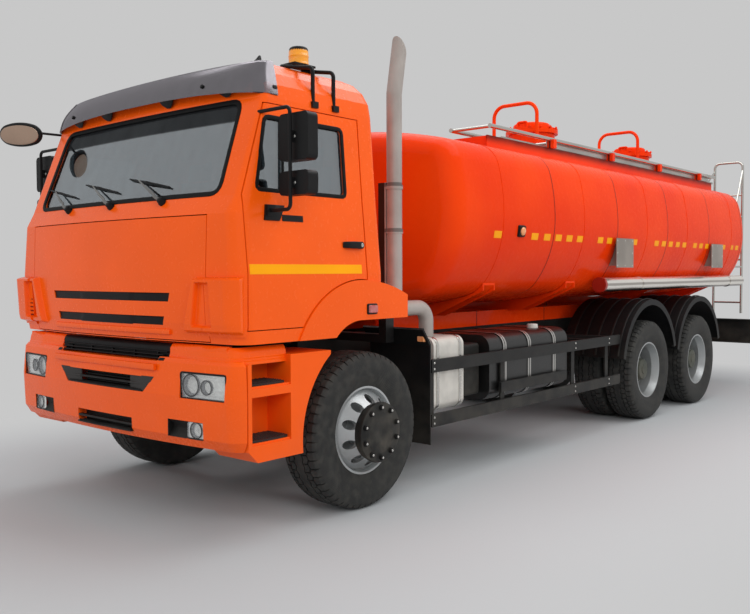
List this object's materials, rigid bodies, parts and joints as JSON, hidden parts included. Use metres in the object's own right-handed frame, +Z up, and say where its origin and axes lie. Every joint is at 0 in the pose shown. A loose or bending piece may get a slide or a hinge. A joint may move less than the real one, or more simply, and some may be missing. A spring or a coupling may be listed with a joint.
{
  "type": "fuel tanker truck",
  "caption": "Road tanker for liquid fuel: a tilting cab over the engine, a frame with steered and driven axles, and an oval-section tank with filling lids, walkway and ladder.",
  "frame": {"origin": "on the ground under the middle of the whole truck's bounding box", "axes": "+X to the truck's left side, +Y to its rear, +Z up"},
  "size_m": [3.04, 9.4598, 3.44],
  "materials": {
    "cab_orange": "gloss",
    "tank_red": "gloss",
    "frame_dark": "satin",
    "wheel_silver": "satin",
    "tyre_rubber": "matt",
    "grey_plastic": "matt",
    "black_plastic": "matt",
    "visor_smoke": "gloss",
    "clear_glass": "gloss",
    "lamp_lens": "gloss",
    "amber_lens": "gloss",
    "cast_dark": "matt",
    "stack_steel": "brushed",
    "bright_steel": "polished",
    "fuel_aluminium": "brushed",
    "guard_red": "gloss",
    "seat_cloth": "woven",
    "grating_steel": "galvanised",
    "hose_grey": "matt",
    "plate_white": "gloss"
  },
  "bodies": {
    "truck": {"chassis_frame": "frame_dark", "engine_block": "cast_dark", "front_axle": "cast_dark", "rear_axles": "cast_dark", "leaf_springs": "frame_dark", "front_bumper": "cab_orange", "lamps": "lamp_lens", "entry_steps": "grey_plastic", "mudguards": "black_plastic", "fuel_tank": "fuel_aluminium", "silencer": "stack_steel", "exhaust_stack": "stack_steel", "frame_boxes": "frame_dark", "side_guards": "guard_red", "rear_bumper": "frame_dark", "tank_shell": "tank_red", "tank_cradle": "tank_red", "tank_necks": "tank_red", "walkway_frame": "tank_red", "walkway_decks": "grating_steel", "ladder": "stack_steel", "hose_tubes": "hose_grey", "plate_holders": "plate_white", "discharge_pipe": "grating_steel"},
    "cab": {"cab_shell": "cab_orange", "cab_floor": "black_plastic", "cab_wings": "cab_orange", "cab_glass": "clear_glass", "seats": "seat_cloth", "dashboard": "black_plastic", "sun_visor": "visor_smoke", "roof_beacon": "amber_lens", "wipers": "black_plastic", "front_mirror": "black_plastic"},
    "lid_front_panel": {"front_lid": "cab_orange"},
    "door_left": {"door_left": "cab_orange", "door_glass_left": "clear_glass", "mirrors_left": "black_plastic"},
    "door_right": {"door_right": "cab_orange", "door_glass_right": "clear_glass", "mirrors_right": "black_plastic"},
    "knuckle_left": {"knuckle_left": "cast_dark"},
    "knuckle_right": {"knuckle_right": "cast_dark"},
    "tie_rod": {"tie_rod": "cast_dark"},
    "wheel_front_left": {"wheel_front_left": "wheel_silver", "tyre_front_left": "tyre_rubber"},
    "wheel_front_right": {"wheel_front_right": "wheel_silver", "tyre_front_right": "tyre_rubber"},
    "handrail": {"handrail": "stack_steel"},
    "tank_lid_front": {"tank_lid_front": "tank_red"},
    "tank_lid_rear": {"tank_lid_rear": "tank_red"},
    "wheel_rear_1_left": {"wheel_rear_1_left": "wheel_silver", "tyres_rear_1_left": "tyre_rubber"},
    "wheel_rear_1_right": {"wheel_rear_1_right": "wheel_silver", "tyres_rear_1_right": "tyre_rubber"},
    "wheel_rear_2_left": {"wheel_rear_2_left": "wheel_silver", "tyres_rear_2_left": "tyre_rubber"},
    "wheel_rear_2_right": {"wheel_rear_2_right": "wheel_silver", "tyres_rear_2_right": "tyre_rubber"}
  },
  "joints": [
    {"name": "cab_tilt", "type": "hinge", "parent": "truck", "child": "cab", "pos_m": [0, -4.58, 1.12], "axis": [1, 0, 0], "range_deg": [0, 50]},
    {"name": "front_panel_hinge", "type": "hinge", "parent": "cab", "child": "lid_front_panel", "pos_m": [0, -4.698, 1.934], "axis": [-1, 0, 0], "range_deg": [0, 75]},
    {"name": "door_left_hinge", "type": "hinge", "parent": "cab", "child": "door_left", "pos_m": [1.25, -4.538, 1.59], "axis": [0.0819, 0, -0.9966], "range_deg": [0, 70]},
    {"name": "door_right_hinge", "type": "hinge", "parent": "cab", "child": "door_right", "pos_m": [-1.25, -4.538, 1.59], "axis": [0.0819, 0, 0.9966], "range_deg": [0, 70]},
    {"name": "steer_left", "type": "hinge", "parent": "truck", "child": "knuckle_left", "pos_m": [0.9, -3.46, 0.532], "axis": [0, 0, 1], "range_deg": [-35, 35]},
    {"name": "steer_right", "type": "hinge", "parent": "truck", "child": "knuckle_right", "pos_m": [-0.9, -3.46, 0.532], "axis": [0, 0, 1], "range_deg": [-35, 35]},
    {"name": "tie_rod_pivot", "type": "hinge", "parent": "knuckle_left", "child": "tie_rod", "pos_m": [0.82, -3.27, 0.432], "axis": [0, 0, 1], "range_deg": [-35, 35]},
    {"name": "spin_front_left", "type": "hinge", "parent": "knuckle_left", "child": "wheel_front_left", "pos_m": [1.045, -3.46, 0.532], "axis": [1, 0, 0], "continuous": true},
    {"name": "spin_front_right", "type": "hinge", "parent": "knuckle_right", "child": "wheel_front_right", "pos_m": [-1.045, -3.46, 0.532], "axis": [1, 0, 0], "continuous": true},
    {"name": "handrail_hinge", "type": "hinge", "parent": "truck", "child": "handrail", "pos_m": [0.8, -0.4, 2.885], "axis": [0, 1, 0], "range_deg": [0, 90]},
    {"name": "tank_lid_front_hinge", "type": "hinge", "parent": "truck", "child": "tank_lid_front", "pos_m": [0, 1.052, 3.178], "axis": [-1, 0, 0], "range_deg": [0, 100]},
    {"name": "tank_lid_rear_hinge", "type": "hinge", "parent": "truck", "child": "tank_lid_rear", "pos_m": [0, 3.652, 3.178], "axis": [-1, 0, 0], "range_deg": [0, 100]},
    {"name": "spin_rear_1_left", "type": "hinge", "parent": "truck", "child": "wheel_rear_1_left", "pos_m": [0.9165, 1.14, 0.532], "axis": [1, 0, 0], "continuous": true},
    {"name": "spin_rear_1_right", "type": "hinge", "parent": "truck", "child": "wheel_rear_1_right", "pos_m": [-0.9165, 1.14, 0.532], "axis": [1, 0, 0], "continuous": true},
    {"name": "spin_rear_2_left", "type": "hinge", "parent": "truck", "child": "wheel_rear_2_left", "pos_m": [0.9165, 2.58, 0.532], "axis": [1, 0, 0], "continuous": true},
    {"name": "spin_rear_2_right", "type": "hinge", "parent": "truck", "child": "wheel_rear_2_right", "pos_m": [-0.9165, 2.58, 0.532], "axis": [1, 0, 0], "continuous": true}
  ],
  "couplings": [
    {"joint": "steer_right", "follows": "steer_left", "ratio": 1},
    {"joint": "tie_rod_pivot", "follows": "steer_left", "ratio": -1}
  ]
}
